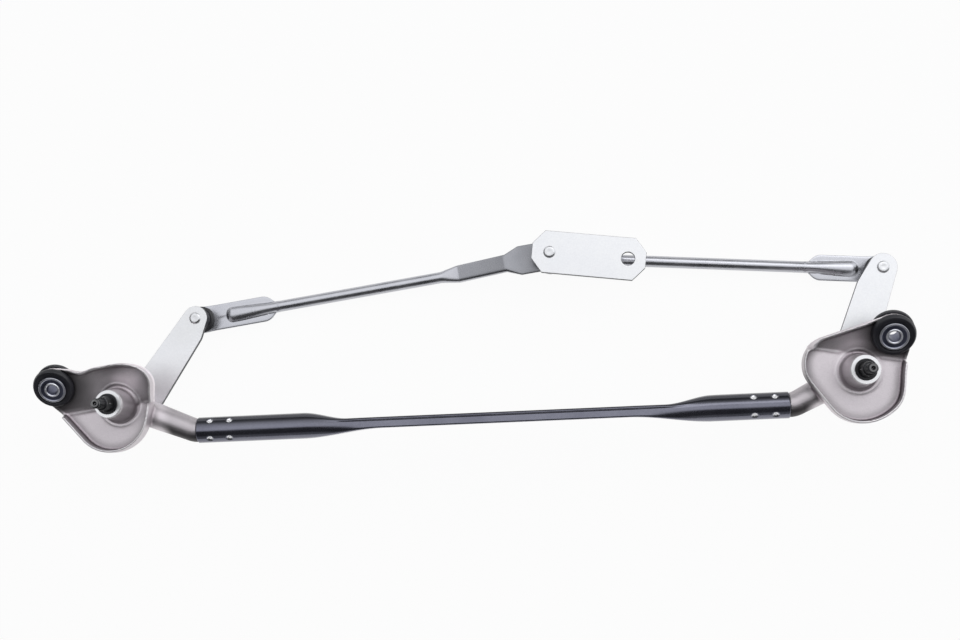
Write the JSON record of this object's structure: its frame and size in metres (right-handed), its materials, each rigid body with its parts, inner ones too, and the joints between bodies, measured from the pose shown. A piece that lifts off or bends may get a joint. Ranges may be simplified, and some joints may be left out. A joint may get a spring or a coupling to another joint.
{
  "type": "wiper linkage",
  "caption": "Tube-frame wiper linkage: die-cast pivot housings with wiper spindles and grommet ears, flat cranks, ball-jointed pull rods and a loose motor crank.",
  "frame": {"origin": "on the left spindle axis at the foot of its arm thread", "axes": "+X from the left spindle to the right spindle, +Z along both spindles towards their threads, +Y the way the cranks point at rest"},
  "size_m": [0.7035, 0.1684, 0.1168],
  "materials": {
    "black_paint": "gloss",
    "die_cast": "matte cast",
    "bush_metal": "sintered",
    "rubber": "matte",
    "sleeve_steel": "dark plated",
    "black_spindle": "black phosphate",
    "zinc_plate": "bright zinc",
    "bright_washer": "bright",
    "grey_rod": "plain grey plated",
    "black_plastic": "moulded"
  },
  "bodies": {
    "frame": {"frame_tube": "black_paint", "left_housing": "die_cast", "right_housing": "die_cast", "left_upper_bush": "bush_metal", "left_lower_bush": "bush_metal", "right_upper_bush": "bush_metal", "right_lower_bush": "bush_metal", "left_seal": "rubber", "right_seal": "rubber", "left_grommet": "rubber", "right_grommet": "rubber", "left_sleeve": "sleeve_steel", "right_sleeve": "sleeve_steel"},
    "left_rocker": {"left_spindle": "black_spindle", "left_crank": "zinc_plate", "left_crank_stud": "zinc_plate", "left_top_washer": "bright_washer", "left_clip": "black_spindle", "left_low_washer": "bright_washer"},
    "right_rocker": {"right_spindle": "black_spindle", "right_crank": "zinc_plate", "right_crank_stud": "zinc_plate", "right_top_washer": "bright_washer", "right_clip": "black_spindle", "right_low_washer": "bright_washer"},
    "left_link": {"left_rod": "grey_rod", "left_outer_socket": "black_plastic", "left_inner_socket": "black_plastic"},
    "right_link": {"right_rod": "grey_rod", "right_outer_socket": "black_plastic", "right_inner_socket": "black_plastic"},
    "drive_crank": {"motor_crank": "zinc_plate", "drive_stud_pin": "zinc_plate"}
  },
  "joints": [
    {"name": "left_pivot", "type": "hinge", "parent": "frame", "child": "left_rocker", "pos_m": [0, 0, -0.04], "axis": [0, 0, 1], "range_deg": [-5, 70]},
    {"name": "right_pivot", "type": "hinge", "parent": "frame", "child": "right_rocker", "pos_m": [0.59, 0, -0.04], "axis": [0, 0, 1], "range_deg": [-5, 67]},
    {"name": "left_ball_joint", "type": "hinge", "parent": "left_rocker", "child": "left_link", "pos_m": [0.0501, 0.07235, -0.0931], "axis": [0, 0, 1], "range_deg": [-73, 6]},
    {"name": "right_ball_joint", "type": "hinge", "parent": "right_rocker", "child": "right_link", "pos_m": [0.62398, 0.08496, -0.0931], "axis": [0, 0, 1], "range_deg": [-68, 5]},
    {"name": "drive_ball_joint", "type": "hinge", "parent": "left_link", "child": "drive_crank", "pos_m": [0.3553, 0.11, -0.077], "axis": [0, 0, 1], "continuous": true}
  ],
  "couplings": [
    {"joint": "right_pivot", "follows": "left_pivot", "ratio": 0.948},
    {"joint": "left_ball_joint", "follows": "left_pivot", "ratio": -1.036},
    {"joint": "right_ball_joint", "follows": "left_pivot", "ratio": -0.968}
  ]
}
